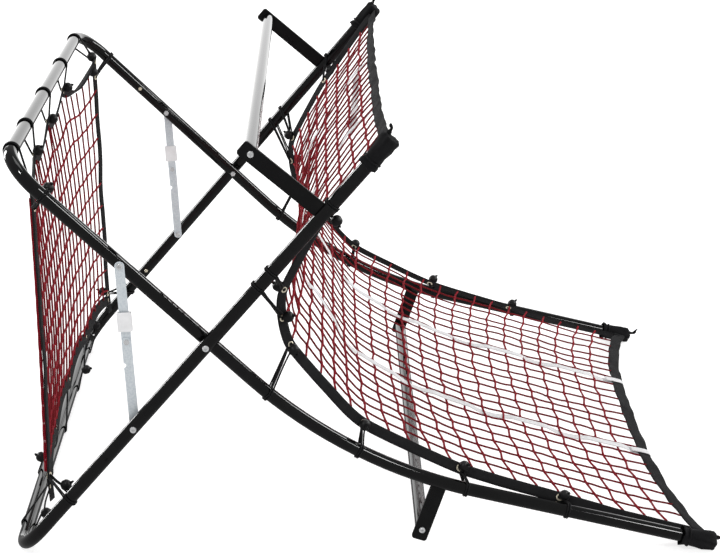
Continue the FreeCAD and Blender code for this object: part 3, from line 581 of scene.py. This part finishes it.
# Depth of the hollows between two eyelets, of the whole edge's sag, and of the bow
TOP_HOLLOW, FOOT_HOLLOW = 34, 16
TOP_SAG, FOOT_RISE = 10, 4
TOP_BOW, FOOT_BOW, FAR_BOW = 40, 28, 36

# Rows as shares of the way down: the first one, their spacing, and how far the cords end from both edges
FIRST_ROW, ROW_SPACING, CORD_INSET = 0.117, 0.0931, 0.012

# Border: steps, width and thickness of its bands, and the direction across the near and the far side band
BORDER_STEPS, BORDER_WIDTH, BORDER_THICK = 96, 23, 4.2
SIDE_STEPS, SIDE_WIDTH, SIDE_THICK, TAB_THICK = 60, 18.5, 3.2, 2.2
SIDE_TURNS = {0.0: Vector((0.1, 0.99, 0)), 1.0: Vector((0.35, 0.94, 0))}

# Ball cords of both edges from near to far: ring on the tube, share and lean of the ball
TOP_CORDS = ((-448, 0.0, Vector((0.1, 0, 1))), (-285, 0.0, Vector((0.5, -0.1, 0.55))),
             (-50, 0.0, Vector((1, 0.35, 0.55))), (200, 0.0, Vector((1, 0.35, 0.55))),
             (436, 0.0, Vector((-0.55, 0, 1))))
FOOT_CORDS = ((-428, 0.78, Vector((1.7, 0, 0.9))), (-205, 0.74, Vector((-3.0, 0, 1.4))),
              (12, 0.1, Vector((-0.8, 0, -0.2))), (235, 0.66, Vector((1.3, 0, 0.4))),
              (464, 0.5, Vector((-1, 0, 0.2))))

# Ball cords from the side bands to the rails: share and lean of the high ball and of the low one
SIDE_CORDS = {NEAR: ((0.5, Vector((1.8, 0, 2.6))), (0.5, Vector((1.0, 0, 0.5)))),
              FAR: ((0.0, Vector((-0.4, 0, 1))), (0.0, Vector((-1, 0, 0.45))))}
HIGH_EYELET, LOW_EYELET = 0.066, 0.968
HIGH_RING, LOW_RING = 400, 408


def scallop(share, depth):
    """Drop between eyelets: none at an eyelet, and the full depth half way to the next."""
    t = share * FRONT_SPANS
    t = t - math.floor(t)
    return depth * (1 - abs(2 * t - 1) ** 2)


def front_at(across_share, down):
    """Point of the front net's surface, from near to far and from its top band to its bottom band."""
    u = 2 * across_share - 1
    half = FRONT_TOP_HALF + (FRONT_BOTTOM_HALF - FRONT_TOP_HALF) * down
    waist = 1 - 0.03 * math.sin(math.pi * down)
    top = FRONT_TOP + TOP_TILT * u
    bottom = FRONT_BOTTOM - FOOT_TILT * u
    sag = (scallop(across_share, TOP_HOLLOW) + TOP_SAG * (1 - u * u)) * (1 - down) ** 5
    lift = (scallop(across_share, FOOT_HOLLOW) + FOOT_RISE * (1 - u * u)) * down ** 2.5
    # the side bands pull the rows straight, and the top and the foot bow out most
    depth = TOP_BOW * (1 - down) ** 1.7 + FOOT_BOW * down ** 1.7
    power = 2.3 - 0.8 * math.sin(math.pi * down)
    bow = depth * (1 - abs(u) ** power) + FAR_BOW * max(u, 0) * (1 - u) * (1 - down)
    return Vector((FRONT_X - bow + FAR_FORWARD * u * (1 - down), u * half * waist,
                   top + (bottom - top) * down - sag + lift))


def front_crossing(column, r):
    down = min(FIRST_ROW + ROW_SPACING * (r - 1), 1 - CORD_INSET) if r else CORD_INSET
    point = front_at(column / FRONT_COLUMNS, down)
    if 0 < column < FRONT_COLUMNS and 0 < r < FRONT_ROWS:
        point.z += STEP * (0.3 + 0.7 * down) * (1 if (r + column) % 2 else -1)
    return point


def build_front_net():
    net = Mesh()
    for r in range(1, FRONT_ROWS):
        crossings = [front_crossing(column, r) for column in range(FRONT_COLUMNS + 1)]
        net_cord(net, crossings, THICK, KNOT, 0.3 + 1.3 * r / FRONT_ROWS, 100 + r)
    net.look = 1
    for column in range(1, FRONT_COLUMNS):
        crossings = [front_crossing(column, r) for r in range(FRONT_ROWS + 1)]
        net_cord(net, crossings, THIN, THIN, 0.9, column)
    # the knitted edge is gathered behind the near side band, thickest towards the foot
    net.look = 0
    for strand in range(4):
        line = []
        for k in range(SIDE_STEPS + 1):
            down = 0.03 + 0.92 * k / SIDE_STEPS
            twist = k * 0.4 + strand * math.pi / 2
            spread = 1.1 + 1.5 * down
            offset = Vector((-4.6 + spread * math.cos(twist), -4 + spread * math.sin(twist), 0))
            line.append(front_at(0.0, down) + offset)
        net.tube(line, 1.4, 6)
    drape(net.make("front_net_cords", "net_cord", "net_cord_thin"), "front_net", FRONT_FOLD)


def build_front_border():
    band = Mesh()
    for down in (0.0, 1.0):
        line = [front_at(k / BORDER_STEPS, down) for k in range(BORDER_STEPS + 1)]
        sides = []
        for k in range(len(line)):
            across = step_at(line, k).cross(X_AXIS).normalized()
            # the top band turns its face to the front in its last hollow at the far end
            turned = math.sin(math.pi * clamp((k / BORDER_STEPS - 0.76) / 0.24))
            sides.append(across + X_AXIS * (0.3 if down else -0.3 - 1.3 * turned))
        band.ribbon(line, sides, BORDER_WIDTH, BORDER_THICK)
    for share in (0.0, 1.0):
        line = [front_at(share, k / SIDE_STEPS) for k in range(SIDE_STEPS + 1)]
        line = [p + X_AXIS * (0.8 + noise.noise(p / 90) * 3) for p in line]
        band.ribbon(line, SIDE_TURNS[share], SIDE_WIDTH, SIDE_THICK)
        # the band's loose end hangs below the foot corner
        corner = front_at(share, 1.0)
        tab = [corner + Vector((1 + 0.5 * k, 0, 14 - 9 * k)) for k in range(6)]
        band.ribbon(tab, SIDE_TURNS[1.0], SIDE_WIDTH, TAB_THICK)
    drape(band.make("front_net_binding", "black_webbing"), "front_net_border", FRONT_FOLD)


def front_places():
    """Ball cords of the front net: CAD node, eyelet and its axis, ring, direction of the tube, ball."""
    upper, lower = "front_upper_ball_cords", "front_lower_ball_cords"
    for k in range(FRONT_SPANS + 1):
        ring, share, lean = TOP_CORDS[k]
        eye = front_at(k / FRONT_SPANS, 0)
        if k in (0, FRONT_SPANS):
            eye.z -= 4
        yield upper, eye, X_AXIS, polar(UP_INNER, INNER_TOP, ring), Y_AXIS, share, lean
        ring, share, lean = FOOT_CORDS[k]
        eye = front_at(k / FRONT_SPANS, 1)
        yield lower, eye, X_AXIS, polar(DOWN_OUTER, OUTER_FOOT, ring), Y_AXIS, share, lean
    side_axis = Vector((0.94, -0.35, 0))
    for side in (NEAR, FAR):
        (high_share, high_lean), (low_share, low_lean) = SIDE_CORDS[side]
        eye = front_at((1 + side) / 2, HIGH_EYELET)
        ring = polar(UP_INNER, HIGH_RING, side * INNER_HALF)
        yield upper, eye, side_axis, ring, heading(UP_INNER), high_share, high_lean
        eye = front_at((1 + side) / 2, LOW_EYELET)
        ring = polar(DOWN_OUTER, LOW_RING, side * OUTER_HALF)
        yield lower, eye, side_axis, ring, heading(DOWN_OUTER), low_share, low_lean


def build_front_fittings():
    eyes = Mesh()
    for k, (cad, eye, eye_axis, ring, direction, share, lean) in enumerate(front_places()):
        eyelet(eyes, eye, eye_axis)
        cord = ball_cord(ring, direction, eye, X_AXIS, share, lean)
        drape(cord.make("front_ball_cord_%d" % k, "elastic_cord", "ball"), cad, FRONT_FOLD)
    drape(eyes.make("front_net_rings", "brass"), "front_net_eyelets", FRONT_FOLD)


# Return net: its side line runs straight from eyelet to eyelet, and its middle cuts the corner of the bend
EDGE = [off_outer(506, 4), off_outer(317, 20), off_outer(163, 54), off_outer(120, 87),
        off_inner(126, 98), off_inner(237, 76), off_inner(348, 50), off_inner(565, 33),
        off_inner(770, 18), off_inner(900, 9), off_inner(1066, 5)]
EDGE_STEPS = 12
EDGE_LINE = smooth_line(EDGE, EDGE_STEPS, 0.3)
EDGE_TABLE = lengths(EDGE_LINE)
EDGE_LENGTH = EDGE_TABLE[-1]
BEND_AT = EDGE_TABLE[3 * EDGE_STEPS + 8]
RETURN_HALF = 500.0
RETURN_COLUMNS, RETURN_ROWS = 24, 30

# Two heights on the return net: a cord on the outer frame goes with it if its eyelet lies above the first,
# and one on the inner frame goes with it if its eyelet lies below the second
RETURN_FOLD = Vector((350, 0, 200)), Vector((350, 0, -150))

# Room at both ends of the side line, hollow of both ends, and how much wider the net is at its top
TOP_ROOM, TOP_END_HOLLOW, LOW_ROOM, LOW_END_HOLLOW, TOP_FLARE = 4, 17, 10, 60, 24

# Rise of the middle over the bend and how far it reaches, and the sag of the flat runs
BULGE, BULGE_REACH, RUN_SAG = 26.0, 170, 9

# The cords end just inside the bands, and the last cells before the low band are longer
CORD_SIDE_SHARE = 0.985
FIRST_CORD_END, LAST_ROW, LAST_CORD_END = 0.0065, 0.955, 0.9925

# Side bands: their middle's distance out from the net, and how steeply they hang, flatter at the far top
BAND_OUT = 7
BAND_STEPS, BAND_WIDTH, BAND_THICK = 150, 22, 3.0
HANG, FLAT_HANG = math.radians(50), math.radians(24)

# Rings on the rails: length along the rail, number of the eyelet in EDGE, and lean of the ball
OUTER_RINGS = ((356, 1, (0.9, 0.2, 0.3)), (188, 2, (-0.8, 0.1, 0.6)), (150, 3, (0.9, 0.3, 0.3)))
INNER_RINGS = ((156, 4, (0.5, 0.5, -0.6)), (364, 6, (0.2, 0.9, 0.1)), (585, 7, (0.7, 0.5, 0.6)),
               (786, 8, (0.8, 0.4, 0.6)))

# The balls at eyelet 1 lie part of the way up the cord
UPPER_BALLS = {NEAR: (0.6, Vector((0.9, -0.7, -1.6))), FAR: (0.35, Vector((0.6, -0.6, 1.3)))}

# Bands across both ends: CAD node, share of the length, width, body, and reach past the net on each side
END_STEPS, END_THICK = 120, 3.6
END_BANDS = {"upper": ("return_net_upper_band", 0.0, 25, "outer_frame", 42),
             "lower": ("return_net_lower_band", 1.0, 26, "inner_frame", 24)}


def upright(ahead):
    """The side of the net that a ball strikes, from the way its side line runs."""
    return Vector((-ahead.z, 0, ahead.x)).normalized()


def return_at(u, v):
    """Point of the return net, and the side that a ball strikes. u runs from -1 near to 1 far, and
    v from 0 at its top to 1 at its low end."""
    hollow = 1 - abs(u) ** 3
    start = TOP_ROOM + TOP_END_HOLLOW * hollow
    end = EDGE_LENGTH - LOW_ROOM - LOW_END_HOLLOW * hollow
    s = start + v * (end - start)
    point = at_length(EDGE_LINE, EDGE_TABLE, s)
    normal = upright(at_length(EDGE_LINE, EDGE_TABLE, s + 6) - at_length(EDGE_LINE, EDGE_TABLE, s - 6))
    near_bend = math.exp(-((s - BEND_AT) / BULGE_REACH) ** 2)
    sag = RUN_SAG * (1 - u * u) * math.sin(math.pi * v) * (1 - near_bend)
    rise = BULGE * near_bend * (1 - abs(u) ** 2.5) - sag
    half = RETURN_HALF + TOP_FLARE * max(0.0, 1 - v * 9)
    return point + normal * rise + Vector((0, u * half, 0)), normal


def return_crossing(column, r):
    u = (-1 + 2 * column / RETURN_COLUMNS) * CORD_SIDE_SHARE
    v = max(LAST_ROW * r / (RETURN_ROWS - 1), FIRST_CORD_END) if r < RETURN_ROWS else LAST_CORD_END
    point, normal = return_at(u, v)
    if 0 < column < RETURN_COLUMNS and 0 < r < RETURN_ROWS:
        along = (return_at(u, clamp(v + 0.01))[0] - return_at(u, clamp(v - 0.01))[0]).normalized()
        wander = noise.noise_vector(Vector((column * 0.55, r * 0.5, 3.7)))
        point = point + along * (STEP if (r + column) % 2 else -STEP)
        point = point + Vector((0, wander.y * 5, 0)) + normal * wander.x * 4
    return point


def build_return_net():
    net = Mesh()
    for r in range(1, RETURN_ROWS):
        crossings = [return_crossing(column, r) for column in range(RETURN_COLUMNS + 1)]
        net_cord(net, crossings, THICK, KNOT, 0.9, 200 + r)
    net.look = 1
    for column in range(1, RETURN_COLUMNS):
        crossings = [return_crossing(column, r) for r in range(RETURN_ROWS + 1)]
        net_cord(net, crossings, THIN, THIN, 1.7, column + 40)
    drape(net.make("return_net_cords", "net_cord", "net_cord_thin"), "return_net", RETURN_FOLD)


def side_band_turn(side, normal, s):
    """Direction across a side band, whose outer edge hangs down, and the direction of its face."""
    hang = HANG
    if side == FAR:
        hang = FLAT_HANG + (HANG - FLAT_HANG) * clamp((s - BEND_AT + 120) / 160)
    across = Vector((0, side, 0))
    face = normal * math.cos(hang) + across * math.sin(hang)
    return across * math.cos(hang) - normal * math.sin(hang), face


def build_return_bands():
    band = Mesh()
    for side in (NEAR, FAR):
        line, sides = [], []
        for k in range(BAND_STEPS + 1):
            point, normal = return_at(side, k / BAND_STEPS)
            turn, _ = side_band_turn(side, normal, k / BAND_STEPS * EDGE_LENGTH)
            line.append(point + turn * BAND_OUT + Y_AXIS * (noise.noise(point / 70) * 2))
            sides.append(turn)
        band.ribbon(line, sides, BAND_WIDTH, BAND_THICK)
    drape(band.make("return_net_edges", "black_webbing"), "return_net_side_bands", RETURN_FOLD)
    for name, (cad, v, width, body, reach) in END_BANDS.items():
        band = Mesh()
        line = [return_at(-1 + 2 * k / END_STEPS, v)[0] for k in range(END_STEPS + 1)]
        line = [line[0] - Y_AXIS * reach] + line + [line[-1] + Y_AXIS * reach]
        sides = []
        for k in range(len(line)):
            across = step_at(line, k).cross(return_at(0, v)[1]).normalized()
            sides.append((across + noise.noise_vector(line[k] / 45) * 0.35).normalized())
        line = [p + noise.noise_vector(p / 42) * 2.6 for p in line]
        band.ribbon(line, sides, width, END_THICK)
        obj = band.make("return_net_%s_hem" % name, "black_webbing")
        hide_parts(cad)
        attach(obj, body)


def cord_blend(obj, ring, eye, own):
    """Attaches a cord to its frame's body when its eyelet lies past that frame's end of RETURN_FOLD, and
    otherwise only bakes its transform into its mesh.
    """
    share = clamp((RETURN_FOLD[0].z - eye.z) / (RETURN_FOLD[0].z - RETURN_FOLD[1].z))
    if own == "outer_frame":
        if share < 0.02:
            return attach(obj, own)
        start, end = ring, ring + (eye - ring) / share
    else:
        if share > 0.98:
            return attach(obj, own)
        start, end = ring + (eye - ring) / (1 - share), ring
    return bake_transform(obj, "outer_frame", "inner_frame", row(start), row(end))


def return_places():
    """Ball cords of the return net: CAD node, body, side, ring, direction of the tube, eyelet and ball."""
    for side in (NEAR, FAR):
        for along, k, ball in OUTER_RINGS:
            ring = polar(UP_OUTER, along, side * OUTER_HALF)
            yield "return_outer_ball_cords", "outer_frame", side, ring, heading(UP_OUTER), k, ball
        for along, k, ball in INNER_RINGS:
            point, angle = inner_rail(along)
            ring = point + Y_AXIS * (side * INNER_HALF)
            yield "return_inner_ball_cords", "inner_frame", side, ring, heading(angle), k, ball


def build_return_fittings():
    eyes = Mesh()
    for count, (cad, body, side, ring, direction, k, ball) in enumerate(return_places()):
        at = k * EDGE_STEPS
        normal = upright(EDGE_LINE[at + 2] - EDGE_LINE[at - 2])
        turn, face = side_band_turn(side, normal, EDGE_TABLE[at])
        eye = EDGE[k] + Y_AXIS * (side * RETURN_HALF) + turn * BAND_OUT
        eyelet(eyes, eye, face)
        share, lean = 0.0, Vector((ball[0], side * ball[1], ball[2]))
        if k == 1:
            share, lean = UPPER_BALLS[side]
        cord = ball_cord(ring, direction, eye, face, share, lean)
        obj = cord.make("return_ball_cord_%d" % count, "elastic_cord", "ball")
        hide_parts(cad)
        cord_blend(obj, ring, eye, body)
    drape(eyes.make("return_net_rings", "brass"), "return_net_eyelets", RETURN_FOLD)


# White tapes: distance from the middle, widths, thickness, and their rise over and under the cords
TAPE_FROM_MIDDLE, TAPE_WIDTH, TOP_TAPE_WIDTH, TAPE_THICK, TAPE_RISE = 185, 20, 24, 1.3, 3.9
STEPS_PER_ROW, TOP_TAPE_STEPS = 8, 60


def build_tape(name, side):
    """A tape woven through the net, over a few cords and then under one."""
    tape = Mesh()
    u = side * TAPE_FROM_MIDDLE / RETURN_HALF
    shift = 0.8 if side == FAR else 0
    line = []
    steps = RETURN_ROWS * STEPS_PER_ROW
    for k in range(steps + 1):
        v = k / steps
        point, normal = return_at(u, v)
        weave = math.cos(math.tau * v * RETURN_ROWS / 4 + shift)
        rise = clamp(6.5 * weave + 3.0, -TAPE_RISE, TAPE_RISE)
        line.append(point + normal * rise + Y_AXIS * (noise.noise(point / 120) * 3))
    tape.ribbon(line, Y_AXIS, TAPE_WIDTH, TAPE_THICK)
    # it turns round the low band and is sewn back on itself
    point, normal = return_at(u, 1.0)
    back = (return_at(u, 0.99)[0] - point).normalized()
    wrap = [point + back * 30 + normal * 2.6, point + back * 12 + normal * 3.6]
    for k in range(9):
        a = math.pi * k / 8
        wrap.append(point - back * (13 * math.sin(a)) + normal * 3.6 * math.cos(a))
    wrap += [point + back * 12 - normal * 3.6, point + back * 30 - normal * 2.6]
    tape.ribbon(smooth_line(wrap, 3), Y_AXIS, TAPE_WIDTH, TAPE_THICK)
    drape(tape.make("strike_tape_" + name, "white_webbing"), "strike_strap_" + name, RETURN_FOLD)


def build_top_tape():
    """A short tape across the top of the net, on the side that a ball strikes."""
    tape = Mesh()
    line, sides = [], []
    for k in range(TOP_TAPE_STEPS + 1):
        u = (-TAPE_FROM_MIDDLE + 2 * TAPE_FROM_MIDDLE * k / TOP_TAPE_STEPS) / RETURN_HALF
        point, normal = return_at(u, 0.052 - 0.02 * u)
        line.append(point + normal * (2.4 + 1.6 * math.cos(k * 0.9)))
        sides.append(return_at(u, 0.08)[0] - return_at(u, 0.03)[0])
    tape.ribbon(line, sides, TOP_TAPE_WIDTH, TAPE_THICK)
    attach(tape.make("strike_tape_top", "white_webbing"), "outer_frame")


# Cloth pockets over the rail ends: distance past the rail's tip, and radius
POCKET_OUTLINE = ((-59.5, 18.6), (-60, 20.2), (-55, 19.2), (-51, 17.2), (-46, 16.3), (-41, 16.6),
                  (-30, 17.4), (-16, 18.3), (-4, 19.0), (3, 19.0), (6, 17.2), (8.0, 11.5), (8.4, 0.5))
POCKET_SIDES = 40
POCKET_TIE_AT, POCKET_TIE_R = -46, 18.1
END_KNOT = ((-4.5, 0), (-4, 3.4), (-1.5, 4.9), (1.5, 5.0), (4, 3.6), (4.6, 0))


def pocket_up(outward):
    up = Y_AXIS.cross(outward).normalized()
    return -up if up.z < 0 else up


def build_pocket(mesh, tip, outward, seed):
    """Sewn cloth cap: a loose mouth, flat seams up its corners and a folded end."""
    up = pocket_up(outward)
    rings = []
    for s, r in POCKET_OUTLINE:
        on_side = r > 8
        ring = []
        for a in circle(POCKET_SIDES):
            out = up * math.sin(a) + Y_AXIS * math.cos(a)
            # corners of the folded cloth stand out towards the closed end
            corner = max(0.0, math.cos(2 * a + 0.6)) ** 6 * 5.0 * clamp((s + 50) / 50)
            p = tip + outward * s + out * (r + (corner if on_side else 0))
            fold = noise.noise(p / 14 + Vector((seed, 0, 0))) * 3.0 + noise.noise(p / 6) * 0.8
            if on_side:
                pleat = 2.6 if s > -4 or s < -50 else 0
                p += out * max(fold, TUBE_R + 1.4 - r) + outward * noise.noise(p / 10) * pleat
            p.z = max(p.z, GROUND + 0.4)
            ring.append(p)
        rings.append(ring)
    us = [s / 1000 for s, _ in POCKET_OUTLINE]
    mesh.grid(rings, us, [k / POCKET_SIDES * 0.1 for k in range(POCKET_SIDES + 1)])


def build_pocket_ties(cloth, ties, end, outward, side):
    """The tie round the mouth, and a twisted corner of the cloth that stands out of the closed end."""
    up = pocket_up(outward)
    loop = []
    for k, a in enumerate(circle(28)):
        wander = noise.noise(Vector((k * 0.4, side, POCKET_TIE_AT))) * 0.6
        loop.append(end + outward * (POCKET_TIE_AT + wander)
                    + (up * math.sin(a) + Y_AXIS * math.cos(a)) * POCKET_TIE_R)
    ties.tube(loop, 1.5, 7, closed=True)
    knot = end + outward * 7 + up * 9 - Y_AXIS * side * 2
    ties.lathe(END_KNOT, knot, outward + up * 0.4, 12)
    bend = 1.0 if side == NEAR else 1.5
    tuft = [knot + outward * out + up * rise for out, rise in
            ((-4, 0), (3, 1), (8, 2), (13, 3 * bend), (15, 7 * bend), (18, 10 * bend))]
    line = smooth_line(tuft, 5)
    last = len(line) - 1
    radii = [4.6 - 2.6 * k / last + 0.7 * math.sin(11 * k / last + side) for k in range(last)] + [1.0]
    cloth.tube(line, radii, 9)


def build_pockets():
    ends = (("inner", inner_rail(INNER_LENGTH)[0], -TAIL_SLOPE, INNER_HALF, 20),
            ("outer", polar(UP_OUTER, OUTER_TIP), UP_OUTER, OUTER_HALF, 25))
    for name, tip, angle, half, seed in ends:
        cloth, ties = Mesh(), Mesh()
        outward = heading(angle)
        for side in (NEAR, FAR):
            end = tip + Y_AXIS * (side * half)
            build_pocket(cloth, end, outward, seed + side)
            build_pocket_ties(cloth, ties, end, outward, side)
        obj = cloth.make("%s_pockets_cloth" % name, "black_cloth")
        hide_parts("%s_net_pockets" % name)
        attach(obj, name + "_frame")
        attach(ties.make("%s_pocket_ties" % name, "elastic_cord"), name + "_frame")


build_front_net()
build_front_border()
build_front_fittings()
build_return_net()
build_return_bands()
build_return_fittings()
build_tape("near", NEAR)
build_tape("far", FAR)
build_top_tape()
build_pockets()

# CAD nodes take the looks of their material slots
for part in frame["record"]["subparts"]:
    obj = nodes[part["node"]]
    obj.data.materials.clear()
    obj.data.materials.append(MATERIALS[part["material_slot"]])

# Floor, light and camera, in metres
bpy.ops.mesh.primitive_plane_add(size=60, location=(0, 0, 0))
floor = bpy.context.object
floor.name = "floor"
floor_paint, _, shader = principled("floor", (0.6, 0.6, 0.6), 0.8)
shader.inputs["Emission Color"].default_value = (1, 1, 1, 1)
shader.inputs["Emission Strength"].default_value = 0.72
floor.data.materials.append(floor_paint)
floor.visible_glossy = False

world = bpy.data.worlds.new("studio")
bpy.context.scene.world = world
world.use_nodes = True
background = world.node_tree.nodes["Background"]
background.inputs["Color"].default_value = (1, 1, 1, 1)
background.inputs["Strength"].default_value = 0.28


def area(name, location, target, size, power, size_y=None):
    light = bpy.data.lights.new(name, "AREA")
    light.energy = power
    light.size = size
    if size_y:
        light.shape = "RECTANGLE"
        light.size_y = size_y
    obj = bpy.data.objects.new(name, light)
    obj.location = location
    obj.rotation_euler = (Vector(target) - Vector(location)).to_track_quat("-Z", "Y").to_euler()
    obj.visible_camera = False
    bpy.context.scene.collection.objects.link(obj)


area("key", (-1.6, -2.4, 3.8), (0, 0, 0.4), 0.45, 42)
area("fill", (2.6, -2.2, 3.2), (0, 0, 0.3), 0.5, 18)
area("top", (0, 0.6, 4.2), (0, 0, 0.3), 1.6, 18)
area("left_strip", (-3.8, 2.6, 1.5), (0, 0, 0.5), 0.8, 120, 2.6)
area("right_strip", (3.9, 1.0, 2.6), (0, 0, 0.4), 0.8, 120, 2.6)
area("back", (0, 5.2, 1.2), (0, 0, 0.9), 7.0, 130, 3.4)

camera = bpy.data.objects.new("camera", bpy.data.cameras.new("camera"))
bpy.context.scene.collection.objects.link(camera)
camera.location = (-0.0662, -3.6063, 1.7100)
camera.rotation_euler = (math.radians(69.60), 0, math.radians(-1.14))
camera.data.sensor_width = 36
camera.data.lens = 90
bpy.context.scene.camera = camera
bpy.context.scene.view_settings.view_transform = "Standard"
bpy.context.scene.view_settings.look = "None"
